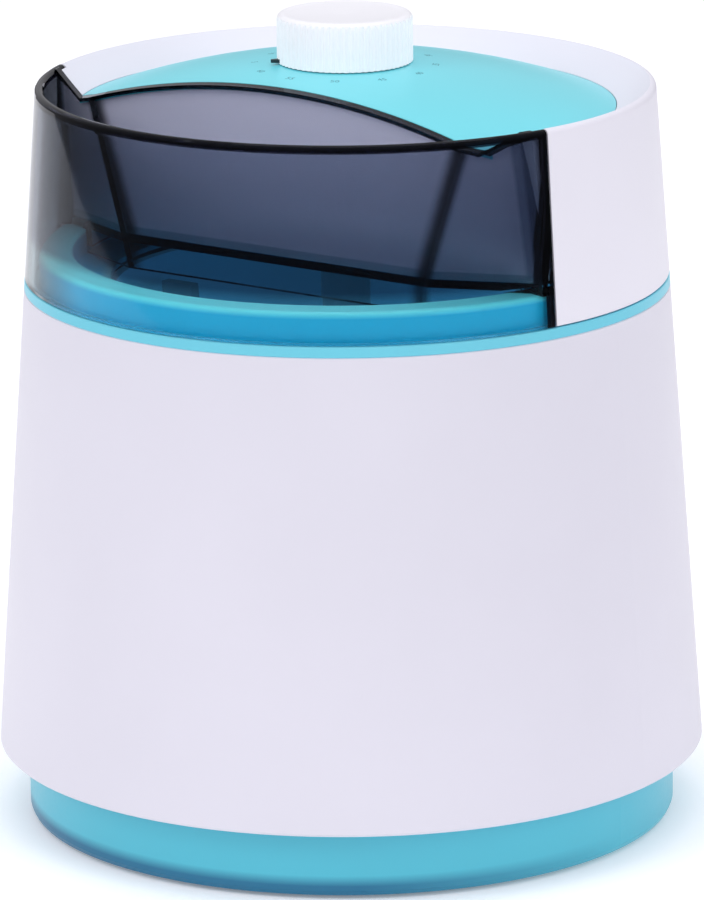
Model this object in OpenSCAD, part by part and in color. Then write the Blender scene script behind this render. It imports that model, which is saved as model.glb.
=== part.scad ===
// Countertop ice cream maker: a round tapered drum on a low base, a lift-out freezer bowl with a
// paddle, a smoked lid with a pouring hopper, and a motor unit with a ribbed timer knob on top.
// Millimetres, +Z up, origin at the centre of the plane that the feet stand on, hopper towards -Y.

/* [Body] */
// Outer radius of the drum at its lower edge
drum_r = 115; // [110:0.5:122]
// Outer radius at the crest of the top rim
rim_r = 99.4; // [97:0.2:102]
// Height of the drum's lower edge
skirt_z = 23.7; // [20:0.1:30]
// Height of the seam between the drum and the bowl's collar
seam_z = 174.7; // [150:0.1:200]
// Height of the top rim above the seam
upper_h = 65.6; // [62:0.2:72]
// Wall of the plastic covers
wall = 2.5; // [2:0.1:3]
// Outer radius of the base
base_r = 105.5; // [100:0.5:107]
// Height that the feet lift the base
foot_gap = 1; // [0.5:0.1:3]
// Radius of a rubber foot
foot_r = 9; // [7:0.5:10]
// Floor of the base
pan_floor = 3.5; // [3:0.1:4.5]
// Gap left between parts that come apart
gap = 0.4; // [0.3:0.05:0.6]

/* [Freezer bowl] */
// Height of the coloured band that shows at the seam
band_h = 3.5; // [3:0.1:5]
// Outer radius of the collar's raised ring
ring_ro = 99; // [97:0.2:99.6]
// Width of the collar's raised ring
ring_w = 10.7; // [9:0.1:12]
// Height of the raised ring above the band
ring_h = 9.8; // [8:0.1:11]
// Inner radius of the metal liner at its mouth
liner_r_top = 75; // [70:0.5:78]
// Inner radius of the metal liner at its floor
liner_r_floor = 70; // [64:0.5:70]
// Depth of the metal liner
liner_depth = 124; // [110:1:128]
// Thickness of the metal liner
liner_t = 1.2; // [1:0.1:2]
// Space for the coolant between the liner and the bowl's shell
gel_gap = 9; // [7:0.5:11]
// Radius of the centre pin in the liner's floor
pip_r = 4; // [3:0.1:5]
// Height of the centre pin
pip_h = 6; // [5:0.5:8]

/* [Paddle] */
// Gap between the paddle's blades and the liner
blade_gap = 1; // [0.8:0.1:2]
// Thickness of the paddle's blades
blade_t = 4; // [3:0.1:5]
// Radius of the paddle's stem
stem_r = 8; // [7.6:0.1:9]
// Running clearance of shafts and pins, on the radius
run_fit = 0.06; // [0.03:0.01:0.09]

/* [Lid] */
// Half of the angle that the smoked window spans
window_a = 74; // [71:0.5:76]
// Wall of the smoked lid
lid_wall = 2.8; // [2.2:0.1:3]
// Distance of the hopper's back wall in front of the axis
back_d = 41; // [39:0.5:44]
// Half width of the hopper's back wall at the top
corner_top = 74; // [71:0.5:76]
// Half width of the hopper's back wall at the bottom
corner_low = 57; // [52:0.5:62]
// Turn of the hopper's side walls away from the back wall
wing_a = 22; // [19:0.5:25]
// Depth of the hopper's lower edge inside the collar
hopper_dip = 8; // [5:0.5:9]

/* [Motor unit] */
// Radius of the domed control panel
panel_r = 86.7; // [84:0.1:88]
// Depth of the panel's edge below the crest of the rim
panel_drop = 7.4; // [6:0.1:8]
// Rise of the dome from its edge to its middle
dome_rise = 15.1; // [13:0.1:16]
// Thickness of the control panel
panel_t = 2.2; // [1.8:0.1:2.6]
// Thickness of the motor unit's base plate
plate_t = 2.5; // [2:0.1:3]
// Radius of the cable hole in the cord gland
gland_r = 3.3; // [2.8:0.1:3.6]
// Height of the cord gland above the base plate
gland_h = 16; // [14:0.5:20]

/* [Drive] */
// Module of the gears
gear_m = 0.75; // [0.7:0.01:0.8]
// Teeth of each pinion
pinion_n = 12; // [12:1:12]
// Teeth of each large gear
wheel_n = 42; // [42:1:42]
// Face width of the output gear
wheel_w = 5; // [4:0.1:5.5]
// Play between meshing teeth, along the pitch circle
backlash = 0.14; // [0.1:0.01:0.2]
// Radius of the output shaft
shaft_r = 4.7; // [4.5:0.05:5]
// Size across the flats of the shaft's hexagon
hex_af = 8; // [7.6:0.1:8.1]
// Radius of the motor's can
can_r = 29; // [27:0.5:31]
// Height of the motor's can
can_h = 13; // [12:0.5:14]

/* [Timer] */
// Outer radius of the ribbed knob
knob_r = 21.8; // [20:0.1:24]
// Height of the ribbed knob
knob_h = 15.6; // [14:0.1:18]
// Number of ribs round the knob
knob_ribs = 64; // [48:1:80]
// Radius of the timer's body
timer_r = 21; // [18:0.5:22]
// Height of the timer's body
timer_h = 19; // [15:0.5:20]
// Radius of the timer's spindle
spindle_r = 3; // [2.5:0.1:3.5]

/* [Hidden] */
$fn = 96;
fine = 256;
eps = 0.01;
far = 300;

rim_z = seam_z + upper_h;
pan_z = foot_gap;
floor_z = pan_z + pan_floor;
pan_top = skirt_z + 6;
flange_t = 3;

band_top = seam_z + band_h;
ring_top = band_top + ring_h;
ring_ri = ring_ro - ring_w;
liner_top = seam_z - 1.5;
liner_z = liner_top - liner_depth;
shell_t = 2;
shell_r_top = liner_r_top + liner_t + gel_gap + shell_t;
shell_r_low = liner_r_floor + liner_t + gel_gap + shell_t;
shell_z = liner_z - liner_t - gel_gap - shell_t;
seal_h = 2;
collar_in = liner_r_top + 1.2;

lid_z = ring_top;
lid_top = lid_z + lid_wall;
hopper_z = ring_top - hopper_dip;
hopper_h = rim_z - hopper_z;
rib_a = 1.6;
in_wall = 1;
in_end = 0.3;
lid_floor_r = ring_ro - 0.6;
bush_r = stem_r + run_fit + 2.4;

plate_z = lid_top;
plate_top = plate_z + plate_t;
panel_z = rim_z - panel_drop;
dome_r = (panel_r * panel_r + dome_rise * dome_rise) / (2 * dome_rise);
dome_z = panel_z + dome_rise;

wheel_r = gear_m * wheel_n / 2;
pinion_pr = gear_m * pinion_n / 2;
centre_d = wheel_r + pinion_pr;
tip = 0.8 * gear_m;
case_t = 2;
case_gap = 1.4;
case_r = wheel_r + tip + case_gap + case_t;
wheel_z = plate_top + case_t + 1;
idler_z = wheel_z + wheel_w + 0.8;
case_top = idler_z + wheel_w + 0.8;
cover_t = 1.8;
can_z = case_top + cover_t;
can_top = can_z + can_h;
timer_z = can_top + 1;
timer_top = timer_z + timer_h;
pin_r = 1.5;
hex_r = hex_af / 2 / cos(30);
socket_z = ring_top - 14;
stem_top = lid_top - 0.3;
knob_z = dome_z - dome_r + sqrt(dome_r * dome_r - knob_r * knob_r) + gap;
knob_top = knob_z + knob_h;
gland_z = plate_top + gland_h;
screw_r = 1.6;
boss_r = 4.5;
pan_boss_r = 94;
n_screws = 4;
cradle_r = 58;
side_gap = 0.35;
boss_angles = [10, 65, 115, 170];
cover_mid = rim_z - 14;
boss_d = body_r(cover_mid) - wall - boss_r - 2;
case_lug = case_r + 3;
case_screw_places = [[-case_lug, 0], [case_lug, 0], [-case_lug, centre_d], [case_lug, centre_d]];

white = "#e6e4ee";
teal = "#78d6e6";
smoke = [0.18, 0.2, 0.28, 0.6];

// Outer radius of the tapered body at a height
function body_r(z) = drum_r + (rim_r - drum_r) * (z - skirt_z) / (rim_z - skirt_z);

// Point of an involute of the base circle rb, unrolled by the angle t
function involute(rb, t) = rb * [cos(t) + t * PI / 180 * sin(t), sin(t) - t * PI / 180 * cos(t)];

// Angle in degrees that the involute has turned at radius r
function unroll(rb, r) = sqrt(max(0, r * r / rb / rb - 1)) * 180 / PI;

function turned(p, a) = [p[0] * cos(a) - p[1] * sin(a), p[0] * sin(a) + p[1] * cos(a)];

// Outline of one gear, with a tooth centred on the X axis
function gear_points(n) = let (
    pr = gear_m * n / 2,
    rb = pr * cos(20),
    root = pr - 1.1 * gear_m,
    t_pitch = unroll(rb, pr),
    p_pitch = involute(rb, t_pitch),
    half = 90 / n - backlash / 2 / pr * 180 / PI / 2 + atan2(p_pitch[1], p_pitch[0]),
    t_tip = unroll(rb, pr + tip),
    flank = [for (i = [0 : 4]) turned(involute(rb, t_tip * i / 4), -half)]
) [for (k = [0 : n - 1]) each concat(
    [turned([root, 0], k * 360 / n - half)],
    [for (p = flank) turned(p, k * 360 / n)],
    [for (i = [4 : -1 : 0]) turned([flank[i][0], -flank[i][1]], k * 360 / n)],
    [turned([root, 0], k * 360 / n + half)]
)];

module ring(r_out, r_in, z, h) {
    translate([0, 0, z])
    difference() {
        cylinder(r = r_out, h = h);
        translate([0, 0, -1])
        cylinder(r = r_in, h = h + 2);
    }
}

module spin(n, r, start = 0) {
    for (i = [0 : n - 1])
        rotate([0, 0, start + i * 360 / n])
        translate([r, 0, 0])
        children();
}

// Pan-head screw, thread upwards, with the underside of its head at z = 0
module screw(r, length, head_r, head_h) {
    cylinder(r = r, h = length);
    translate([0, 0, -head_h])
    difference() {
        cylinder(r = head_r, h = head_h);
        translate([0, 0, -eps])
        for (a = [0, 90])
            rotate([0, 0, a])
            translate([-head_r * 0.6, -0.4, 0])
            cube([head_r * 1.2, 0.8, head_h * 0.5]);
    }
}

// Space in front of the hopper's back and side walls, moved back by grow
module hopper_space(grow) {
    lean = atan(sin(wing_a) * (corner_top - corner_low) / hopper_h);
    translate([-far, -far - back_d + grow, -far])
    cube([2 * far, far, 2 * far + rim_z]);
    for (side = [0, 1])
        mirror([side, 0, 0])
        translate([corner_low, -back_d, hopper_z])
        rotate([0, 0, wing_a])
        rotate([lean, 0, 0])
        translate([-far / 3, -far + grow, -far / 3])
        cube([far, far, far]);
}

// The sheet of a wall that follows the hopper, between two distances behind it
module hopper_sheet(from, to) {
    difference() {
        hopper_space(to);
        hopper_space(from);
    }
}

// Everything inside the tapered outline, from z up to the rim and the dome
module outline(z, shrink = 0) {
    steps = 16;
    rotate_extrude($fn = fine)
    polygon([
        [0, z],
        [body_r(z) - shrink, z],
        for (a = [0 : 22.5 : 90])
            [body_r(rim_z - 1.8) - shrink - 1.8 + 1.8 * cos(a), rim_z - 1.8 + 1.8 * sin(a)],
        for (i = [0 : steps])
            let (r = panel_r * (1 - i / steps))
            [r, dome_z - dome_r + sqrt(dome_r * dome_r - r * r)]
    ]);
}

// Sector that the window spans, widened on both sides by an angle
module window_sector(more) {
    rotate([0, 0, -90 - window_a - more])
    translate([0, 0, band_top])
    rotate_extrude(angle = 2 * (window_a + more), $fn = fine)
    square([2 * drum_r, rim_z]);
}

// Space round the front that the window fills, straight inside so that the motor unit lifts past the lip
module window_space(more) {
    inside = body_r(rim_z) - lid_wall - gap;
    rotate([0, 0, -90 - window_a - more])
    translate([0, 0, band_top])
    rotate_extrude(angle = 2 * (window_a + more), $fn = fine)
    translate([inside, 0])
    square([drum_r, rim_z]);
}

module base_pan() {
    color(teal)
    difference() {
        rotate_extrude($fn = fine)
        polygon([
            [0, pan_z],
            [base_r - 2, pan_z],
            [base_r - 0.6, pan_z + 0.6],
            [base_r, pan_z + 2],
            [base_r, pan_top],
            [base_r - wall, pan_top],
            [base_r - wall, floor_z],
            [0, floor_z]
        ]);
        spin(4, base_r - 17, 45)
        translate([0, 0, -1])
        cylinder(r = foot_r, h = pan_z + 3);
        spin(n_screws, pan_boss_r)
        translate([0, 0, -1]) {
            cylinder(r = screw_r + 0.4, h = 20);
            cylinder(r = 3.6, h = pan_z + 2.6);
        }
        spin(3, cradle_r, 30)
        translate([0, 0, -1]) {
            cylinder(r = screw_r + 0.4, h = 20);
            cylinder(r = 3.6, h = pan_z + 2.6);
        }
        spin(12, base_r - 40)
        translate([0, 0, -1])
        cube([12, 2, 20], center = true);
    }
}

module rubber_feet() {
    color("#40444a")
    spin(4, base_r - 17, 45)
    rotate_extrude()
    polygon([[0, 0], [foot_r - 1.4, 0], [foot_r - 0.6, 0.4], [foot_r - 0.1, pan_z + 2], [0, pan_z + 2]]);
}

module drum_shell() {
    web = drum_r - wall - pan_boss_r;
    color(white)
    difference() {
        union() {
            rotate_extrude($fn = fine)
            polygon([
                [base_r + 0.5, skirt_z],
                [body_r(skirt_z) - 0.8, skirt_z],
                [body_r(skirt_z + 0.8), skirt_z + 0.8],
                [body_r(seam_z - 0.3), seam_z - 0.3],
                [body_r(seam_z) - 0.3, seam_z],
                [shell_r_top + 5.5, seam_z],
                [shell_r_top + 5.5, seam_z - flange_t],
                [body_r(seam_z - flange_t) - wall, seam_z - flange_t],
                [body_r(skirt_z + wall) - wall, skirt_z + wall],
                [base_r + 0.5, skirt_z + wall]
            ]);
            spin(n_screws, pan_boss_r) {
                translate([0, 0, floor_z])
                cylinder(r = boss_r, h = pan_top + 14 - floor_z);
                translate([0, -1.5, pan_top + 1])
                cube([web - 1, 3, 13]);
            }
        }
        spin(n_screws, pan_boss_r)
        translate([0, 0, floor_z - 1])
        cylinder(r = screw_r, h = 15);
    }
}

module bowl_cradle() {
    seat = shell_r_low + gap;
    color("#c9ccd2")
    difference() {
        rotate_extrude($fn = fine)
        polygon([
            [cradle_r - 6, floor_z],
            [cradle_r + 6, floor_z],
            [cradle_r + 6, floor_z + 3],
            [cradle_r + 3, floor_z + 3],
            [cradle_r + 3, shell_z - 3],
            [seat + 2.5, shell_z - 3],
            [seat + 2.5, shell_z + 6],
            [seat, shell_z + 6],
            [seat, shell_z],
            [cradle_r, shell_z],
            [cradle_r, floor_z + 3],
            [cradle_r - 6, floor_z + 3]
        ]);
        spin(3, cradle_r, 30)
        translate([0, 0, floor_z - 1])
        cylinder(r = screw_r, h = 5);
    }
}

module base_screws() {
    color("#9a9ca0")
    spin(n_screws, pan_boss_r)
    translate([0, 0, pan_z + 1.6])
    screw(screw_r, 14, 3.2, 1.4);
}

module cradle_screws() {
    color("#9a9ca0")
    spin(3, cradle_r, 30)
    translate([0, 0, pan_z + 1.6])
    screw(screw_r, 4.4, 3.2, 1.4);
}

module bowl_shell() {
    color("#dfe3ea")
    difference() {
        rotate_extrude($fn = fine)
        polygon([
            [0, shell_z],
            [shell_r_low - 4, shell_z],
            [shell_r_low - 1, shell_z + 1],
            [shell_r_low, shell_z + 4],
            [shell_r_top, liner_top - 2],
            [shell_r_top + 4, liner_top - 2],
            [shell_r_top + 4, liner_top],
            [shell_r_top - shell_t, liner_top],
            [shell_r_top - shell_t, liner_top - 2],
            [shell_r_low - shell_t, shell_z + 5],
            [shell_r_low - shell_t - 4, shell_z + shell_t],
            [0, shell_z + shell_t]
        ]);
        translate([0, 0, shell_z - 1])
        cylinder(r = 5, h = 10);
    }
}

module bowl_liner() {
    color("#c8ccd0") {
        rotate_extrude($fn = fine)
        polygon([
            [0, liner_z - liner_t],
            [liner_r_floor - 6, liner_z - liner_t],
            [liner_r_floor - 1, liner_z + 1],
            [liner_r_floor + liner_t, liner_z + 7],
            [liner_r_top + liner_t, liner_top],
            [shell_r_top - shell_t - 0.2, liner_top],
            [shell_r_top - shell_t - 0.2, liner_top + liner_t],
            [liner_r_top, liner_top + liner_t],
            [liner_r_floor, liner_z + 7],
            [liner_r_floor - 2, liner_z + 2],
            [liner_r_floor - 6.5, liner_z],
            [0, liner_z]
        ]);
        translate([0, 0, liner_z - eps])
        cylinder(r = pip_r, h = pip_h);
    }
}

module bowl_collar() {
    t = wall;
    color(teal)
    rotate_extrude($fn = fine)
    polygon([
        [collar_in, liner_top + liner_t + seal_h],
        [collar_in, liner_top + liner_t + seal_h + 1.6],
        [ring_ri, band_top + 1.5],
        [ring_ri, ring_top - 1],
        [ring_ri + 1, ring_top],
        for (a = [90 : -22.5 : 0])
            [ring_ro - 2 + 2 * cos(a), ring_top - 2 + 2 * sin(a)],
        [ring_ro, band_top],
        [body_r(band_top) - 0.3, band_top],
        [body_r(band_top - 0.3), band_top - 0.3],
        [body_r(seam_z + 0.3), seam_z + 0.3],
        [body_r(seam_z) - 0.3, seam_z],
        [ring_ro - t, seam_z],
        [ring_ro - t, ring_top - t],
        [ring_ri + t, ring_top - t],
        [ring_ri + t, liner_top],
        [ring_ri, liner_top],
        [ring_ri, liner_top + liner_t + seal_h]
    ]);
}

module coolant_gel() {
    c = 0.15;
    color("#6fb7e8")
    rotate_extrude($fn = fine)
    polygon([
        [0, shell_z + shell_t + c],
        [shell_r_low - shell_t - 4 - c, shell_z + shell_t + c],
        [shell_r_low - shell_t - c, shell_z + 5],
        [shell_r_top - shell_t - 1.4 - c, liner_top - 12],
        [liner_r_top + liner_t + c, liner_top - 12],
        [liner_r_floor + liner_t + c, liner_z + 7],
        [liner_r_floor - 1 + c, liner_z + 1 - c],
        [liner_r_floor - 6, liner_z - liner_t - c],
        [0, liner_z - liner_t - c]
    ]);
}

module bowl_seal() {
    color("#3a3d44")
    ring(shell_r_top - 2.4, liner_r_top + 3, liner_top + liner_t, seal_h);
}

module fill_plug() {
    color("#3a3d44")
    translate([0, 0, shell_z])
    cylinder(r = 5, h = shell_t);
}

module blade(side) {
    low = liner_r_floor - blade_gap;
    top = liner_r_top - blade_gap;
    blade_top = socket_z - 8;
    inner = 26;
    rotate([0, 0, side * 180])
    rotate([90, 0, 0])
    translate([0, 0, -blade_t / 2])
    linear_extrude(blade_t)
    difference() {
        polygon([
            [4, liner_z + blade_gap + 1],
            [low - 7, liner_z + blade_gap + 1],
            [low - 1, liner_z + 8],
            [low + (top - low) * (blade_top - liner_z) / liner_depth, blade_top],
            [low + (top - low) * (blade_top - liner_z) / liner_depth - 12, blade_top],
            [low - 16, liner_z + 34],
            [inner, liner_z + 18],
            [4, liner_z + 14]
        ]);
        translate([inner + 13, liner_z + 12])
        circle(r = 5);
    }
}

module paddle() {
    arm_z = liner_z + 66;
    arm_r = liner_r_floor - blade_gap - 2;
    color("#eef0f4")
    difference() {
        union() {
            translate([0, 0, liner_z + blade_gap])
            cylinder(r = stem_r + 3, h = 22);
            translate([0, 0, liner_z + blade_gap])
            cylinder(r = stem_r, h = stem_top - liner_z - blade_gap);
            for (side = [0, 1]) {
                blade(side);
                rotate([0, 0, side * 180])
                translate([stem_r - 2, 0, arm_z])
                rotate([20, 0, 0])
                translate([0, -6, -blade_t / 2])
                cube([arm_r - stem_r + 1, 12, blade_t]);
            }
        }
        translate([0, 0, liner_z + blade_gap - 1])
        cylinder(r = pip_r + run_fit, h = pip_h + 2);
        translate([0, 0, socket_z])
        cylinder(r = hex_r + 0.14, h = 60, $fn = 6);
    }
}

module smoked_lid() {
    color(smoke)
    difference() {
        union() {
            // Window round the front, with a rounded lip
            rotate([0, 0, -90 - window_a])
            rotate_extrude(angle = 2 * window_a, $fn = fine)
            polygon([
                [body_r(band_top + gap) - lid_wall, band_top + gap],
                [body_r(band_top + gap), band_top + gap],
                [body_r(rim_z - 1.5), rim_z - 1.5],
                for (a = [0 : 22.5 : 180])
                    [body_r(rim_z - 1.5) - 1.5 + 1.5 * cos(a), rim_z - 1.5 + 1.5 * sin(a)],
                [body_r(rim_z - 3) - lid_wall, rim_z - 4]
            ]);
            // Back and side walls of the hopper
            intersection() {
                hopper_sheet(0, lid_wall);
                union() {
                    intersection() {
                        outline(lid_z, in_wall);
                        window_sector(-in_end);
                    }
                    translate([0, 0, hopper_z])
                    cylinder(r = ring_ri - gap, h = lid_z - hopper_z + 1, $fn = fine);
                }
            }
            // Ribs that close the hopper's side walls against the ends of the window
            intersection() {
                hopper_space(lid_wall - 0.5);
                for (a = [-90 - window_a, -90 + window_a - rib_a])
                    rotate([0, 0, a])
                    rotate_extrude(angle = rib_a, $fn = fine)
                    polygon([
                        [body_r(lid_z) - 12, lid_z],
                        [body_r(lid_z) - in_wall, lid_z],
                        [body_r(rim_z - 3) - in_wall, rim_z - 3],
                        [body_r(rim_z - 3) - 12, rim_z - 3]
                    ]);
            }
            // Floor that closes the bowl behind the hopper, and the plug that centres it
            difference() {
                translate([0, 0, lid_z])
                cylinder(r = lid_floor_r, h = lid_wall, $fn = fine);
                hopper_space(lid_wall / 2);
            }
            difference() {
                ring(ring_ri - gap, ring_ri - gap - lid_wall, lid_z - 6, 6 + eps);
                hopper_space(lid_wall / 2);
            }
            translate([0, 0, lid_z - 3])
            cylinder(r = bush_r + 2, h = 3);
        }
        translate([0, 0, lid_z - 10])
        cylinder(r = bush_r, h = 20);
    }
}

module lid_bush() {
    color("#f4f4f0")
    ring(bush_r, stem_r + run_fit, lid_z - 3, lid_wall + 3 - 0.2);
}

module motor_housing() {
    back = lid_wall + gap;
    low = band_top + gap;
    seat = panel_z - panel_t - 0.3;
    r_top = body_r(rim_z - 2);
    inner = body_r(cover_mid) - wall;
    color(white)
    difference() {
        union() {
            // Tapered cover round the back, with the rim and the panel's seat
            difference() {
                rotate_extrude($fn = fine)
                polygon([
                    [body_r(low) - wall, low],
                    [body_r(low) - 0.3, low],
                    [body_r(low + 0.3), low + 0.3],
                    [r_top, rim_z - 2],
                    for (a = [15 : 15 : 90])
                        [r_top - 2 + 2 * cos(a), rim_z - 2 + 2 * sin(a)],
                    [panel_r + 0.25, panel_z + 0.1],
                    [panel_r + 0.25, seat],
                    [panel_r - 2.5, seat],
                    [panel_r - 2.5, seat - 2],
                    [panel_r + 3, seat - 2],
                    [inner, cover_mid]
                ]);
                intersection() {
                    hopper_space(back);
                    window_sector(side_gap);
                }
            }
            // Front wall behind the hopper, up to the underside of the panel
            intersection() {
                hopper_sheet(back, back + wall);
                translate([0, 0, -panel_t - 0.2])
                outline(plate_top + panel_t + 0.2, wall / 2);
            }
            // Bosses for the plate screws
            intersection() {
                for (a = boss_angles)
                    rotate([0, 0, a])
                    translate([boss_d, 0, plate_top]) {
                        cylinder(r = boss_r, h = 22);
                        translate([0, -1.2, 0])
                        cube([boss_r + 6, 2.4, 22]);
                    }
                outline(plate_top, wall / 2);
            }
        }
        window_space(side_gap);
        for (a = boss_angles)
            rotate([0, 0, a])
            translate([boss_d, 0, plate_top - 1])
            cylinder(r = screw_r, h = 14);
        // Hole for the cord gland
        translate([0, body_r(gland_z) - 12, gland_z])
        rotate([-90, 0, 0])
        cylinder(r = gland_r + 3, h = 30);
    }
}

module control_panel() {
    color(teal)
    difference() {
        intersection() {
            difference() {
                translate([0, 0, dome_z - dome_r])
                sphere(r = dome_r, $fn = fine);
                translate([0, 0, dome_z - dome_r])
                sphere(r = dome_r - panel_t, $fn = fine);
            }
            translate([0, 0, panel_z - panel_t - 1])
            cylinder(r = panel_r, h = dome_rise + 5, $fn = fine);
        }
        hopper_space(lid_wall + gap);
        translate([0, 0, dome_z - 10])
        cylinder(r = spindle_r + 2.4, h = 20);
    }
}

module motor_plate() {
    edge = body_r(plate_top) - wall - gap;
    color("#d9dbe2")
    difference() {
        translate([0, 0, plate_z])
        cylinder(r = edge, h = plate_t, $fn = fine);
        hopper_space(lid_wall + gap);
        translate([0, 0, plate_z - 1])
        cylinder(r = shaft_r + 3.2, h = 10);
        for (a = boss_angles)
            rotate([0, 0, a])
            translate([boss_d, 0, plate_z - 1]) {
                cylinder(r = screw_r + 0.3, h = 10);
                cylinder(r = 3.2, h = 2.4);
            }
        for (p = case_screw_places)
            translate([p[0], p[1], plate_z - 1]) {
                cylinder(r = screw_r + 0.3, h = 10);
                cylinder(r = 3.2, h = 2.4);
            }
    }
}

module plate_screws() {
    color("#9a9ca0")
    for (a = boss_angles)
        rotate([0, 0, a])
        translate([boss_d, 0, plate_z + 1.4])
        screw(screw_r, 11, 3, 1.3);
}

module case_shape(grow) {
    circle(r = case_r + grow);
    translate([0, centre_d])
    circle(r = case_r + grow);
    translate([-case_r - grow, 0])
    square([2 * (case_r + grow), centre_d]);
}

module gearbox_case() {
    color("#b9bcc4")
    difference() {
        translate([0, 0, plate_top])
        union() {
            linear_extrude(case_top - plate_top)
            case_shape(0);
            for (p = case_screw_places)
                translate([p[0], p[1], 0])
                cylinder(r = boss_r, h = case_top - plate_top);
        }
        translate([0, 0, plate_top + case_t])
        linear_extrude(40)
        case_shape(-case_t);
        translate([0, 0, plate_top - 1])
        cylinder(r = shaft_r + 3.2, h = 10);
        translate([0, centre_d, plate_top + 0.6])
        cylinder(r = pin_r, h = 10);
        for (p = case_screw_places)
            translate([p[0], p[1], plate_top - 1])
            cylinder(r = screw_r, h = 40);
    }
}

module gearbox_cover() {
    color("#a8abb4")
    difference() {
        translate([0, 0, case_top])
        union() {
            linear_extrude(cover_t)
            case_shape(0);
            for (p = case_screw_places)
                translate([p[0], p[1], 0])
                cylinder(r = boss_r, h = cover_t);
        }
        translate([0, 0, case_top - 1])
        cylinder(r = pin_r + 1.8, h = 10);
        translate([0, centre_d, case_top - 1])
        cylinder(r = pin_r, h = 1 + cover_t - 0.6);
        for (p = case_screw_places)
            translate([p[0], p[1], case_top - 1])
            cylinder(r = screw_r, h = 10);
    }
}

module gearbox_screws() {
    color("#9a9ca0")
    for (p = case_screw_places)
        translate([p[0], p[1], plate_z + 1.4])
        screw(screw_r, case_top + cover_t - plate_z - 1.9, 3, 1.3);
}

module shaft_bearing() {
    color("#b8893e") {
        ring(shaft_r + 3.2, shaft_r + run_fit, plate_z + 0.2, plate_t + case_t - 0.2);
    }
}

module idler_pin() {
    color("silver")
    translate([0, centre_d, plate_top + 0.6])
    cylinder(r = pin_r, h = case_top + cover_t - 0.6 - plate_top - 0.6);
}

module motor_can() {
    color("#9fa3aa")
    difference() {
        translate([0, 0, can_z])
        cylinder(r = can_r, h = can_h);
        translate([0, 0, can_z + 1])
        cylinder(r = can_r - 1, h = can_h - 2);
        translate([0, 0, can_z - 1])
        cylinder(r = pin_r + 1.8, h = 3);
        translate([0, 0, can_top - 2])
        cylinder(r = pin_r + 1.8, h = 3);
    }
}

module stator_coil() {
    color("#b5622a")
    ring(can_r - 2, 14.5, can_z + 2, can_h - 4);
}

module rotor_bearings() {
    color("#b8893e") {
        ring(pin_r + 1.8, pin_r + run_fit, case_top, cover_t + 1);
        ring(pin_r + 1.8, pin_r + run_fit, can_top - 1, 1);
    }
}

module timer_body() {
    color("#c8b98a")
    difference() {
        union() {
            translate([0, 0, timer_z])
            cylinder(r = timer_r, h = timer_h);
            translate([0, 0, timer_top])
            cylinder(r = spindle_r + 2, h = dome_z + 1.6 - timer_top);
        }
        translate([0, 0, timer_z + 3])
        cylinder(r = spindle_r + run_fit, h = 60);
    }
}

module timer_nut() {
    color("silver")
    translate([0, 0, dome_z + 0.1])
    difference() {
        cylinder(r = spindle_r + 5, h = 1.4, $fn = 6);
        translate([0, 0, -1])
        cylinder(r = spindle_r + 2, h = 5);
    }
}

module terminal_block() {
    color("#f0ead6")
    translate([24, 44, plate_top])
    difference() {
        cube([24, 11, 12]);
        for (x = [4, 12, 20])
            translate([x, 5.5, 7])
            cylinder(r = 2, h = 10);
    }
}

// A wire of straight runs with rounded bends through a list of points
module wire(points, r) {
    for (i = [0 : len(points) - 2]) {
        run = points[i + 1] - points[i];
        length = norm(run);
        translate(points[i]) {
            rotate([0, acos(run[2] / length), atan2(run[1], run[0])])
            cylinder(r = r, h = length, $fn = 24);
            if (i > 0)
                sphere(r = r * 1.12, $fn = 24);
        }
    }
}

module mains_wires() {
    wire_r = 1.1;
    block_y = 55 + wire_r;
    color("#e8e8ee") {
        wire([[-1.5, 84, gland_z], [-1.5, 70, gland_z], [28, 60, plate_top + 5],
              [28, block_y, plate_top + 5]], wire_r);
        wire([[1.5, 84, gland_z], [4, 74, gland_z - 3], [44, 62, plate_top + 5],
              [44, block_y, plate_top + 5]], wire_r);
        wire([[28, 44 - wire_r, plate_top + 5], [30, 38, plate_top + 10],
              [31, 22, timer_z + 5], [timer_r, 8, timer_z + 7]], wire_r);
        wire([[36, 44 - wire_r, plate_top + 5], [38, 34, plate_top + 10],
              [36, 16, can_z + 5], [can_r + wire_r * 0.9, 6, can_z + 6]], wire_r);
    }
}

module cord_gland() {
    out = body_r(gland_z);
    color("#e9e7f0")
    translate([0, out - 8, gland_z])
    rotate([-90, 0, 0])
    difference() {
        union() {
            cylinder(r = gland_r + 2.9, h = 12);
            cylinder(r = gland_r + 4.6, h = 3.6);
            translate([0, 0, 8.8])
            cylinder(r = gland_r + 4.6, h = 2.4);
        }
        translate([0, 0, -1])
        cylinder(r = gland_r, h = 20);
    }
}

module gear(n, width, bore) {
    linear_extrude(width)
    difference() {
        polygon(gear_points(n));
        circle(r = bore);
    }
}

module output_gear() {
    color("#f2f2ee")
    translate([0, 0, wheel_z])
    difference() {
        gear(wheel_n, wheel_w, shaft_r);
        spin(6, wheel_r * 0.66, 30)
        translate([0, 0, -1])
        cylinder(r = 2, h = 20);
    }
}

module output_shaft() {
    color("#c8ccd0") {
        translate([0, 0, plate_z])
        cylinder(r = shaft_r, h = wheel_z + wheel_w - plate_z);
        translate([0, 0, socket_z + 1])
        cylinder(r = hex_r, h = plate_z - socket_z - 1 + eps, $fn = 6);
    }
}

module idler_gear() {
    color("#f2f2ee")
    translate([0, centre_d, 0]) {
        translate([0, 0, idler_z])
        gear(wheel_n, wheel_w - 0.2, pin_r + run_fit);
        translate([0, 0, wheel_z - 0.4])
        gear(pinion_n, idler_z - wheel_z + 0.4 + eps, pin_r + run_fit);
    }
}

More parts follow.
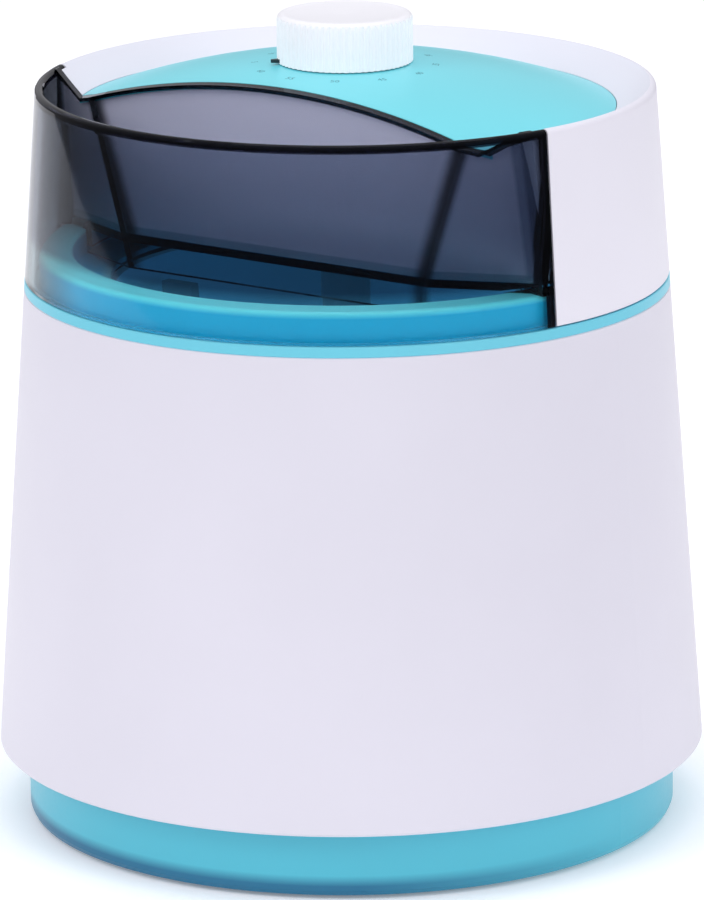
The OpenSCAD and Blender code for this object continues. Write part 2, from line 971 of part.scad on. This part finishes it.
module rotor_magnet() {
    color("#4a4c52")
    ring(12.5, pin_r, can_z + 2, can_h - 4);
}

module rotor_shaft() {
    color("silver") {
        translate([0, 0, idler_z + 0.2])
        cylinder(r = pin_r, h = can_top - 0.2 - idler_z);
        translate([0, 0, idler_z + 0.2])
        gear(pinion_n, wheel_w - 0.4, 0.6);
    }
}

module timer_knob() {
    rib = 0.45;
    crown = 2.2;
    color("#f4f3f8")
    difference() {
        intersection() {
            translate([0, 0, knob_z])
            linear_extrude(knob_h)
            polygon([for (i = [0 : knob_ribs - 1]) each [
                for (part = [[0.1, -rib], [0.35, 0], [0.65, 0], [0.9, -rib]])
                    (knob_r + part[1]) * [cos((i + part[0]) * 360 / knob_ribs),
                                          sin((i + part[0]) * 360 / knob_ribs)]
            ]]);
            rotate_extrude($fn = fine)
            polygon([
                [0, knob_z],
                [knob_r, knob_z],
                [knob_r, knob_top - crown],
                for (a = [15 : 15 : 75])
                    [knob_r - crown + crown * cos(a), knob_top - crown + crown * sin(a)],
                [knob_r - crown, knob_top],
                [knob_r - crown - 2, knob_top - 0.3],
                [0, knob_top - 0.9]
            ]);
        }
        difference() {
            translate([0, 0, knob_z - 1])
            cylinder(r = knob_r - wall, h = knob_h - wall);
            translate([0, 0, dome_z + 2])
            cylinder(r = spindle_r + 2.6, h = 60);
        }
        translate([0, 0, knob_z - 1])
        cylinder(r = spindle_r, h = knob_h - wall);
    }
}

module timer_spindle() {
    color("silver")
    translate([0, 0, timer_z + 3.2])
    cylinder(r = spindle_r, h = knob_z + knob_h - wall - 1 - timer_z - 3.2);
}

base_pan();
rubber_feet();
drum_shell();
bowl_cradle();
base_screws();
cradle_screws();
bowl_shell();
bowl_liner();
bowl_collar();
coolant_gel();
bowl_seal();
fill_plug();
paddle();
smoked_lid();
lid_bush();
motor_housing();
control_panel();
motor_plate();
plate_screws();
gearbox_case();
gearbox_cover();
gearbox_screws();
shaft_bearing();
idler_pin();
motor_can();
stator_coil();
rotor_bearings();
timer_body();
timer_nut();
terminal_block();
mains_wires();
cord_gland();
output_gear();
output_shaft();
idler_gear();
rotor_magnet();
rotor_shaft();
timer_knob();
timer_spindle();
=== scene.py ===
import math

import bmesh
import bpy
from mathutils import Matrix, Vector


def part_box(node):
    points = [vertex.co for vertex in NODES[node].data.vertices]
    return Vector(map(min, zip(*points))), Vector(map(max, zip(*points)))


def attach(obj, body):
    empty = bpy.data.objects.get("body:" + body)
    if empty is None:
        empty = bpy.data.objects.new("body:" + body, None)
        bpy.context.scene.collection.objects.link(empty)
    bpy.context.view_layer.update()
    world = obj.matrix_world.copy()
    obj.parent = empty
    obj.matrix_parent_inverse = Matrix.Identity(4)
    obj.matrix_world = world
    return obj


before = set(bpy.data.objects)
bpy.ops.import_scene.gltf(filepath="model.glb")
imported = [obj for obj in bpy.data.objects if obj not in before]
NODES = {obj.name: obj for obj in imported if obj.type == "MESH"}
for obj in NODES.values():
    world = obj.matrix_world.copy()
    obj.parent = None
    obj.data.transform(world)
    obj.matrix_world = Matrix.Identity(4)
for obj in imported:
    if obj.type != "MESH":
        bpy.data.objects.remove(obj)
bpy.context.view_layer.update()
MM = 0.001

FRONT_Y = -80 * MM
RIM_Z = max(v.co.z for v in NODES["smoked_lid"].data.vertices if v.co.y < FRONT_Y)
RIM_R = 99.4 * MM
DOME_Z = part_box("control_panel")[1].z
PANEL_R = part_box("control_panel")[1].x
PANEL_DROP = 7.4 * MM
PANEL_Z = RIM_Z - PANEL_DROP
DOME_RISE = DOME_Z - PANEL_Z
DOME_R = (PANEL_R * PANEL_R + DOME_RISE * DOME_RISE) / (2 * DOME_RISE)
RING_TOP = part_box("bowl_collar")[1].z
RING_H = 9.8 * MM
BAND_TOP = RING_TOP - RING_H
SHELL_LOW_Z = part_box("drum_shell")[0].z
BASE_BAND_Z = 8 * MM
KNOB_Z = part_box("timer_knob")[0].z
KNOB_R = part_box("timer_knob")[1].x
CORNER_LOW, CORNER_TOP = 57 * MM, 74 * MM
PLASTIC_IOR = 1.49
SMOKED_IOR = 1.25
FINE_GRAIN = 900


# ---------------------------------------------------------------- materials

def new_material(name):
    mat = bpy.data.materials.new(name)
    mat.use_nodes = True
    tree = mat.node_tree
    tree.nodes.clear()
    out = tree.nodes.new("ShaderNodeOutputMaterial")
    shader = tree.nodes.new("ShaderNodeBsdfPrincipled")
    tree.links.new(shader.outputs["BSDF"], out.inputs["Surface"])
    return mat, tree, shader


def noise(tree, scale, detail=3.0, rough=0.5, stretch=None):
    coords = tree.nodes.new("ShaderNodeTexCoord")
    source = coords.outputs["Object"]
    if stretch:
        mapping = tree.nodes.new("ShaderNodeMapping")
        mapping.inputs["Scale"].default_value = stretch
        tree.links.new(source, mapping.inputs["Vector"])
        source = mapping.outputs["Vector"]
    tex = tree.nodes.new("ShaderNodeTexNoise")
    tex.inputs["Scale"].default_value = scale
    tex.inputs["Detail"].default_value = detail
    tex.inputs["Roughness"].default_value = rough
    tree.links.new(source, tex.inputs["Vector"])
    return tex.outputs["Fac"]


def ramp(tree, source, low, high, at=(0.35, 0.65)):
    node = tree.nodes.new("ShaderNodeValToRGB")
    node.color_ramp.elements[0].position = at[0]
    node.color_ramp.elements[0].color = (*low, 1)
    node.color_ramp.elements[1].position = at[1]
    node.color_ramp.elements[1].color = (*high, 1)
    tree.links.new(source, node.inputs["Fac"])
    return node.outputs["Color"]


def spread(tree, source, low, high):
    node = tree.nodes.new("ShaderNodeMapRange")
    node.inputs["From Min"].default_value = 0.3
    node.inputs["From Max"].default_value = 0.7
    node.inputs["To Min"].default_value = low
    node.inputs["To Max"].default_value = high
    tree.links.new(source, node.inputs["Value"])
    return node.outputs["Result"]


def bump(tree, shader, source, strength, distance):
    node = tree.nodes.new("ShaderNodeBump")
    node.inputs["Strength"].default_value = strength
    node.inputs["Distance"].default_value = distance
    tree.links.new(source, node.inputs["Height"])
    tree.links.new(node.outputs["Normal"], shader.inputs["Normal"])


def moulded(name, colour, shift=0.03, rough=(0.3, 0.38), grain=FINE_GRAIN, depth=0.08):
    """Moulded plastic: a slow drift in colour, a fine grain in gloss and relief."""
    mat, tree, shader = new_material(name)
    low = tuple(max(0.0, c * (1 - shift)) for c in colour)
    high = tuple(min(1.0, c * (1 + shift)) for c in colour)
    slow = noise(tree, 14, 2.0)
    fine = noise(tree, grain, 4.0, 0.6)
    tree.links.new(ramp(tree, slow, low, high), shader.inputs["Base Color"])
    tree.links.new(spread(tree, fine, *rough), shader.inputs["Roughness"])
    bump(tree, shader, fine, depth, 0.00002)
    shader.inputs["IOR"].default_value = PLASTIC_IOR
    return mat


def painted_glow_on_walls(mat, level):
    """Painted light: a soft glow on upright faces, strongest where the face stands most upright."""
    tree = mat.node_tree
    shader = next(n for n in tree.nodes if n.type == "BSDF_PRINCIPLED")
    facing = tree.nodes.new("ShaderNodeNewGeometry")
    split = tree.nodes.new("ShaderNodeSeparateXYZ")
    tree.links.new(facing.outputs["Normal"], split.inputs["Vector"])
    up = math_node(tree, "ABSOLUTE", split.outputs["Z"])
    tree.links.new(math_node(tree, "MULTIPLY_ADD", up, -level, level),
                   shader.inputs["Emission Strength"])
    shader.inputs["Emission Color"].default_value = (0.98, 0.98, 1, 1)
    return mat


def lit_inside(mat, glow):
    """A faint glow that stands in for light bounced many times inside the closed bowl."""
    shader = next(n for n in mat.node_tree.nodes if n.type == "BSDF_PRINCIPLED")
    shader.inputs["Emission Color"].default_value = (*glow, 1)
    shader.inputs["Emission Strength"].default_value = 1.0
    return mat


def shaded_teal(name, colour, dark, start_z, dark_z):
    """Teal with painted shade: it deepens at the front, from none at start_z to a dark band at
    dark_z and beyond.
    """
    mat, tree, shader = new_material(name)
    _, y, z, _, _ = place_nodes(tree)
    fine = noise(tree, FINE_GRAIN, 4.0, 0.6)
    drift = ramp(tree, noise(tree, 14, 2.0), tuple(c * 0.97 for c in colour), colour)
    # Painted shade, darkest at the foot towards the front.
    painted_shade = math_node(tree, "MULTIPLY", fade(tree, z, start_z, dark_z),
                      fade(tree, y, 0.0, -85 * MM))
    tree.links.new(blend_colour(tree, painted_shade, drift, dark), shader.inputs["Base Color"])
    tree.links.new(spread(tree, fine, 0.3, 0.38), shader.inputs["Roughness"])
    bump(tree, shader, fine, 0.08, 0.00002)
    shader.inputs["IOR"].default_value = PLASTIC_IOR
    return mat


def metal(name, colour, rough=(0.25, 0.4), stretch=(1, 1, 1), scale=400, depth=0.15):
    mat, tree, shader = new_material(name)
    low = tuple(c * 0.88 for c in colour)
    grain = noise(tree, scale, 5.0, 0.6, stretch)
    tree.links.new(ramp(tree, grain, low, colour), shader.inputs["Base Color"])
    tree.links.new(spread(tree, grain, *rough), shader.inputs["Roughness"])
    shader.inputs["Metallic"].default_value = 1.0
    bump(tree, shader, grain, depth, 0.00003)
    return mat


def math_node(tree, operation, *values):
    """A Math node; each value is a number or another node's output."""
    node = tree.nodes.new("ShaderNodeMath")
    node.operation = operation
    for socket, value in zip(node.inputs, values):
        if isinstance(value, (int, float)):
            socket.default_value = value
        else:
            tree.links.new(value, socket)
    return node.outputs["Value"]


def fade(tree, source, start, end):
    """0 where source is at or below start, 1 at or above end, with start above end allowed."""
    node = tree.nodes.new("ShaderNodeMapRange")
    node.inputs["From Min"].default_value = start
    node.inputs["From Max"].default_value = end
    tree.links.new(source, node.inputs["Value"])
    return node.outputs["Result"]


def blend_colour(tree, factor, low, high):
    """Low at factor 0, high at 1; each is a colour or another node's output."""
    node = tree.nodes.new("ShaderNodeMix")
    node.data_type = "RGBA"
    tree.links.new(factor, node.inputs["Factor"])
    for socket, value in ((node.inputs["A"], low), (node.inputs["B"], high)):
        if isinstance(value, tuple):
            socket.default_value = (*value, 1)
        else:
            tree.links.new(value, socket)
    return node.outputs["Result"]


def place_nodes(tree):
    """Outputs for a point's x, y, z, its distance from the axis squared, and that distance."""
    coords = tree.nodes.new("ShaderNodeTexCoord")
    split = tree.nodes.new("ShaderNodeSeparateXYZ")
    tree.links.new(coords.outputs["Object"], split.inputs["Vector"])
    x, y, z = (split.outputs[c] for c in "XYZ")
    square = math_node(tree, "ADD", math_node(tree, "MULTIPLY", x, x),
                       math_node(tree, "MULTIPLY", y, y))
    return x, y, z, square, math_node(tree, "SQRT", square)


def smoked(name, tint, painted_light_back_tint, skirt_tint, dark_edge_and_shade_tint):
    """Clear smoked plastic: light takes the tint at each face. It is lighter in the walls behind
    the window, which is painted light, and lighter near the ring; darker towards the window's left
    end, a painted shade with less gloss there too, and along the hopper's upright corners, also
    painted shade; and nearly black at the lip, the walls' tops and the window's ends."""
    mat, tree, shader = new_material(name)
    x, y, z, square, radius = place_nodes(tree)
    side = math_node(tree, "ABSOLUTE", x)
    dome = math_node(tree, "ADD", DOME_Z - DOME_R, math_node(
        tree, "SQRT", math_node(tree, "SUBTRACT", DOME_R * DOME_R, square)))
    slope = math_node(tree, "ADD", PANEL_Z, math_node(
        tree, "MULTIPLY", RIM_Z - PANEL_Z, fade(tree, radius, PANEL_R, RIM_R - 3 * MM)))
    below = math_node(tree, "SUBTRACT", math_node(tree, "MAXIMUM", dome, slope), z)
    deep = math_node(tree, "ADD", 1.3 * MM, math_node(
        tree, "MULTIPLY", 1.3 * MM, fade(tree, radius, RIM_R - 8 * MM, RIM_R - 4 * MM)))
    top = fade(tree, math_node(tree, "SUBTRACT", deep, below), -0.15 * MM, 0.15 * MM)
    turn = math_node(tree, "ARCTAN2", side, math_node(tree, "MULTIPLY", y, -1.0))
    end = math_node(tree, "MULTIPLY",
                    fade(tree, turn, math.radians(73.0), math.radians(73.2)),
                    fade(tree, radius, RIM_R - 6 * MM, RIM_R - 5 * MM))
    back = fade(tree, radius, RIM_R - 5 * MM, RIM_R - 6 * MM)
    slow = noise(tree, 20, 2.0)
    low = tuple(c * 0.97 for c in tint)
    # Painted light: the walls behind the window take the lighter back tint.
    colour = blend_colour(tree, back, ramp(tree, slow, low, tint), painted_light_back_tint)
    skirt = fade(tree, z, RING_TOP + 6.5 * MM, RING_TOP + 3.5 * MM)
    colour = blend_colour(tree, skirt, colour, skirt_tint)
    # Painted shade: darker towards the window's left end, with less reflection there.
    left = math_node(tree, "ARCTAN2", math_node(tree, "MULTIPLY", x, -1.0),
                     math_node(tree, "MULTIPLY", y, -1.0))
    painted_left_shade = math_node(tree, "MULTIPLY", 0.85, math_node(
        tree, "MULTIPLY", fade(tree, left, math.radians(20), math.radians(52)),
        fade(tree, radius, RIM_R - 5 * MM, RIM_R - 4 * MM)))
    tree.links.new(math_node(tree, "MULTIPLY_ADD", painted_left_shade, -0.45, 0.5),
                   shader.inputs["Specular IOR Level"])
    colour = blend_colour(tree, painted_left_shade, colour, dark_edge_and_shade_tint)
    # Painted shade: a dark strip along the hopper's upright corners.
    line = math_node(tree, "MULTIPLY_ADD", fade(tree, z, RING_TOP, RIM_Z),
                     CORNER_TOP - CORNER_LOW, CORNER_LOW)
    off = math_node(tree, "SUBTRACT", side, line)
    corner = math_node(tree, "MULTIPLY", back, math_node(
        tree, "MULTIPLY", fade(tree, off, -5 * MM, -1 * MM), fade(tree, off, 2.5 * MM, 0.5 * MM)))
    colour = blend_colour(tree, math_node(tree, "MULTIPLY", corner, 0.8), colour, dark_edge_and_shade_tint)
    colour = blend_colour(tree, math_node(tree, "MAXIMUM", top, end), colour, dark_edge_and_shade_tint)
    tree.links.new(colour, shader.inputs["Base Color"])
    tree.links.new(spread(tree, noise(tree, 60, 2.0), 0.015, 0.035), shader.inputs["Roughness"])
    shader.inputs["Transmission Weight"].default_value = 1.0
    shader.inputs["IOR"].default_value = SMOKED_IOR
    shader.inputs["Specular Tint"].default_value = (0.6, 0.64, 0.8, 1)
    return mat


def collar_teal(name, colour, lit_ring_top, lit_ring_wall):
    """The collar's teal: stronger on the raised ring, which is seen through the smoked lid; the
    ring's top and outer wall carry painted light.
    """
    mat, tree, shader = new_material(name)
    _, _, z, _, _ = place_nodes(tree)
    slow = noise(tree, 14, 2.0)
    low = tuple(c * 0.97 for c in colour)
    wall = fade(tree, z, BAND_TOP - 0.1 * MM, BAND_TOP + 0.3 * MM)
    top = fade(tree, z, RING_TOP - 2.2 * MM, RING_TOP - 0.6 * MM)
    tint = blend_colour(tree, wall, ramp(tree, slow, low, colour), lit_ring_wall)
    tint = blend_colour(tree, top, tint, lit_ring_top)
    fine = noise(tree, FINE_GRAIN, 4.0, 0.6)
    tree.links.new(tint, shader.inputs["Base Color"])
    tree.links.new(spread(tree, fine, 0.3, 0.38), shader.inputs["Roughness"])
    bump(tree, shader, fine, 0.08, 0.00002)
    shader.inputs["IOR"].default_value = PLASTIC_IOR
    return mat


WHITE = (0.71, 0.69, 0.765)
TEAL = (0.11, 0.53, 0.66)
BOWL_GLOW = (0.012, 0.052, 0.085)
MATERIALS = {
    "white_plastic": moulded("white_plastic", WHITE, 0.012, (0.36, 0.42)),
    "teal_plastic": moulded("teal_plastic", TEAL, 0.02, (0.34, 0.4)),
    "panel_teal": moulded("panel_teal", (0.15, 0.68, 0.76), 0.015, (0.3, 0.33), 900, 0.03),
    "grey_plastic": moulded("grey_plastic", (0.52, 0.53, 0.58), 0.05, (0.35, 0.5)),
    "foot_rubber": moulded("foot_rubber", (0.035, 0.035, 0.04), 0.2, (0.6, 0.8), 500, 0.5),
    "bowl_plastic": moulded("bowl_plastic", (0.70, 0.72, 0.76), 0.03, (0.3, 0.42)),
    "paddle_plastic": lit_inside(moulded("paddle_plastic", (0.09, 0.13, 0.18), 0.03,
                                         (0.35, 0.45)), BOWL_GLOW),
    "bush_plastic": moulded("bush_plastic", (0.86, 0.86, 0.82), 0.02, (0.3, 0.45)),
    "timer_case": moulded("timer_case", (0.06, 0.06, 0.07), 0.15, (0.35, 0.5)),
    "terminal_plastic": moulded("terminal_plastic", (0.72, 0.70, 0.62), 0.05, (0.4, 0.5)),
    "wire_sleeve": moulded("wire_sleeve", (0.05, 0.07, 0.22), 0.1, (0.4, 0.55), 600),
    # The knob's white carries painted light: a glow on its upright sides.
    "knob_white": painted_glow_on_walls(moulded("knob_white", (0.88, 0.87, 0.9), 0.01, (0.28, 0.36)), 0.22),
    "coolant": moulded("coolant", (0.30, 0.55, 0.80), 0.08, (0.1, 0.2), 200),
    "liner_metal": lit_inside(metal("liner_metal", (0.45, 0.66, 0.78), (0.3, 0.42), (1, 1, 12),
                                    200, 0.05), BOWL_GLOW),
    "gearbox_metal": metal("gearbox_metal", (0.62, 0.63, 0.66), (0.4, 0.6), (1, 1, 1), 500, 0.4),
    "screw_steel": metal("screw_steel", (0.66, 0.67, 0.70), (0.25, 0.4), (1, 1, 1), 900),
    "bearing_bronze": metal("bearing_bronze", (0.62, 0.40, 0.17), (0.35, 0.5), (1, 1, 1), 900),
    "shaft_steel": metal("shaft_steel", (0.70, 0.71, 0.73), (0.18, 0.3), (1, 1, 60), 200),
    "coil_copper": metal("coil_copper", (0.80, 0.36, 0.16), (0.3, 0.45), (1, 1, 80), 90, 0.6),
    "magnet": metal("magnet", (0.20, 0.20, 0.22), (0.4, 0.55), (1, 1, 1), 500),
    # The smoked plastic carries painted light behind the window and painted shade at its left end
    # and corners.
    "smoked_plastic": smoked("smoked_plastic", (0.34, 0.39, 0.485), (0.91, 0.91, 0.98),
                             (0.76, 0.94, 1.0), (0.003, 0.003, 0.006)),
}
LOOKS = {
    # The collar's ring carries painted light: stronger teals on its top and outer wall.
    "bowl_collar": collar_teal("collar_teal", (0.15, 0.60, 0.74), (0.22, 0.96, 1.0),
                               (0.008, 0.52, 0.80)),
    # Painted light: the motor housing takes a lighter copy of the white plastic.
    "motor_housing": moulded("white_painted_light", (0.80, 0.78, 0.85), 0.012, (0.36, 0.42)),
    # The base pan's teal carries painted shade: a dark band at its foot towards the front.
    "base_pan": shaded_teal("base_teal_painted_shade", (0.078, 0.50, 0.63), (0.008, 0.15, 0.28),
                            BASE_BAND_Z, SHELL_LOW_Z),
}

for node in NODES.values():
    for place in node.material_slots:
        place.material = MATERIALS[place.material.name.split(".")[0]]
for name, look in LOOKS.items():
    NODES[name].material_slots[0].material = look


# ---------------------------------------------------------------- pieces

def mesh_piece(name, verts, faces, body, material, smooth=True):
    mesh = bpy.data.meshes.new(name)
    mesh.from_pydata([tuple(v) for v in verts], [], faces)
    mesh.validate()
    mesh.update()
    for poly in mesh.polygons:
        poly.use_smooth = smooth
    obj = bpy.data.objects.new(name, mesh)
    bpy.context.scene.collection.objects.link(obj)
    mesh.materials.append(material)
    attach(obj, body)
    return obj


def dome_height(radius):
    return DOME_Z - DOME_R + math.sqrt(DOME_R * DOME_R - radius * radius)


def polar(radius, turn, z=0.0):
    """Point at a turn in degrees from the front, towards +X."""
    a = math.radians(turn)
    return Vector((radius * math.sin(a), -radius * math.cos(a), z))


def make_numerals(count=12, first=-61.0, radius=29.3 * MM, height=2.3 * MM):
    """Printed dial numbers that lie on the dome, read from outside the dial."""
    ink = moulded("dial_ink", (0.015, 0.20, 0.25), 0.1, (0.4, 0.5))
    skin = 0.05 * MM
    graph = bpy.context.evaluated_depsgraph_get
    for k in range(count):
        turn = first - k * 360.0 / count
        curve = bpy.data.curves.new("numeral", "FONT")
        curve.body = str(5 * (k + 1))
        curve.size = height * 1.35
        curve.align_x = "CENTER"
        curve.align_y = "CENTER"
        curve.resolution_u = 3
        flat = bpy.data.objects.new("numeral", curve)
        bpy.context.scene.collection.objects.link(flat)
        mesh = bpy.data.meshes.new_from_object(flat.evaluated_get(graph()))
        bpy.data.objects.remove(flat)
        bm = bmesh.new()
        bm.from_mesh(mesh)
        bmesh.ops.remove_doubles(bm, verts=bm.verts, dist=0.5e-6)
        centre = polar(radius, turn)
        swing = Matrix.Rotation(math.radians(turn), 3, "Z")
        for v in bm.verts:
            p = centre + swing @ v.co
            v.co = (p.x, p.y, dome_height(math.hypot(p.x, p.y)) + skin)
        verts = [v.co.copy() for v in bm.verts]
        faces = [[v.index for v in f.verts] for f in bm.faces]
        bm.free()
        bpy.data.meshes.remove(mesh)
        mesh_piece("dial_number_%02d" % (k + 1), verts, faces, "motor_unit", ink,
                   False)


def make_pointer(turn=-43.0):
    """Small dark pointer at the foot of the knob, which turns with it."""
    dark = moulded("pointer_dark", (0.012, 0.03, 0.035), 0.2, (0.35, 0.5))
    low, high = KNOB_Z + 0.15 * MM, KNOB_Z + 1.3 * MM
    outline = [(KNOB_R - 1.2 * MM, -4.2), (KNOB_R - 1.2 * MM, 4.2), (KNOB_R + 2.4 * MM, 0.9),
               (KNOB_R + 2.4 * MM, -0.9)]
    verts = [polar(r, turn + a, z) for z in (low, high) for r, a in outline]
    n = len(outline)
    faces = [tuple(range(n))[::-1], tuple(range(n, 2 * n))]
    faces += [(i, (i + 1) % n, n + (i + 1) % n, n + i) for i in range(n)]
    obj = mesh_piece("dial_pointer", verts, faces, "timer", dark, False)
    soft = obj.modifiers.new("soft_edges", "BEVEL")
    soft.width = 0.2 * MM
    soft.segments = 2


make_numerals()
make_pointer()


# ---------------------------------------------------------------- stage

def make_floor():
    """A round pale light table, glowing a little, so that it stays bright under the object."""
    sides = 96
    reach = 1.6
    mesh = bpy.data.meshes.new("floor")
    verts = [(reach * math.cos(2 * math.pi * i / sides), reach * math.sin(2 * math.pi * i / sides),
              0) for i in range(sides)]
    mesh.from_pydata(verts, [], [tuple(range(sides))])
    floor = bpy.data.objects.new("floor", mesh)
    bpy.context.scene.collection.objects.link(floor)
    mat, tree, shader = new_material("floor_white")
    slow = noise(tree, 2, 1.0)
    tree.links.new(ramp(tree, slow, (0.95, 0.95, 0.96), (0.97, 0.97, 0.975)),
                   shader.inputs["Base Color"])
    shader.inputs["Roughness"].default_value = 0.9
    shader.inputs["Specular IOR Level"].default_value = 0.1
    shader.inputs["Emission Color"].default_value = (1, 1, 1, 1)
    shader.inputs["Emission Strength"].default_value = 0.18
    mesh.materials.append(mat)


def make_world():
    """Soft light that is brightest overhead and dim below the horizon."""
    world = bpy.data.worlds.new("studio")
    bpy.context.scene.world = world
    world.use_nodes = True
    tree = world.node_tree
    tree.nodes.clear()
    out = tree.nodes.new("ShaderNodeOutputWorld")
    back = tree.nodes.new("ShaderNodeBackground")
    coords = tree.nodes.new("ShaderNodeTexCoord")
    split = tree.nodes.new("ShaderNodeSeparateXYZ")
    tree.links.new(coords.outputs["Generated"], split.inputs["Vector"])
    node = tree.nodes.new("ShaderNodeValToRGB")
    stops = ((0.0, 0.25), (0.48, 0.3), (0.56, 0.6), (1.0, 1.0))
    while len(node.color_ramp.elements) < len(stops):
        node.color_ramp.elements.new(0.5)
    for element, (at, level) in zip(node.color_ramp.elements, stops):
        element.position = at
        element.color = (0.94 * level, 0.94 * level, level, 1)
    height = math_node(tree, "MULTIPLY_ADD", split.outputs["Z"], 0.5, 0.5)
    tree.links.new(height, node.inputs["Fac"])
    tree.links.new(node.outputs["Color"], back.inputs["Color"])
    back.inputs["Strength"].default_value = 0.95
    tree.links.new(back.outputs["Background"], out.inputs["Surface"])


def area_light(name, place, target, size, power):
    data = bpy.data.lights.new(name, "AREA")
    data.shape = "RECTANGLE"
    data.size, data.size_y = size
    data.energy = power
    light = bpy.data.objects.new(name, data)
    bpy.context.scene.collection.objects.link(light)
    light.location = place
    light.rotation_mode = "QUATERNION"
    light.rotation_quaternion = (Vector(target) - Vector(place)).to_track_quat("-Z", "Y")


def make_camera():
    turn, pitch, roll = (math.radians(x) for x in (35.5, 14.458, 0.5306))
    distance = 2.1387
    look = Vector((0, 0, 0.1258))
    back = Vector((math.sin(turn) * math.cos(pitch), -math.cos(turn) * math.cos(pitch),
                   math.sin(pitch)))
    right = Vector((math.cos(turn), math.sin(turn), 0))
    up = back.cross(right)
    data = bpy.data.cameras.new("camera")
    camera = bpy.data.objects.new("camera", data)
    bpy.context.scene.collection.objects.link(camera)
    basis = Matrix((right, up, back)).transposed().to_4x4()
    camera.matrix_world = (Matrix.Translation(look + back * distance) @ basis
                           @ Matrix.Rotation(-roll, 4, "Z"))
    data.lens = 263.73
    data.sensor_width = 36
    data.shift_x = 0.00392
    data.shift_y = -0.02432
    data.clip_end = 100
    bpy.context.scene.camera = camera


make_floor()
make_world()
area_light("key", (-0.7, -2.0, 1.5), (0, 0, 0.12), (1.2, 1.2), 13)
area_light("fill", (2.4, -0.5, 1.3), (0, 0, 0.12), (1.2, 1.2), 11)
area_light("top", (0.0, 0.2, 2.2), (0, 0, 0.12), (1.6, 1.6), 9)
make_camera()
bpy.context.scene.view_settings.view_transform = "Standard"
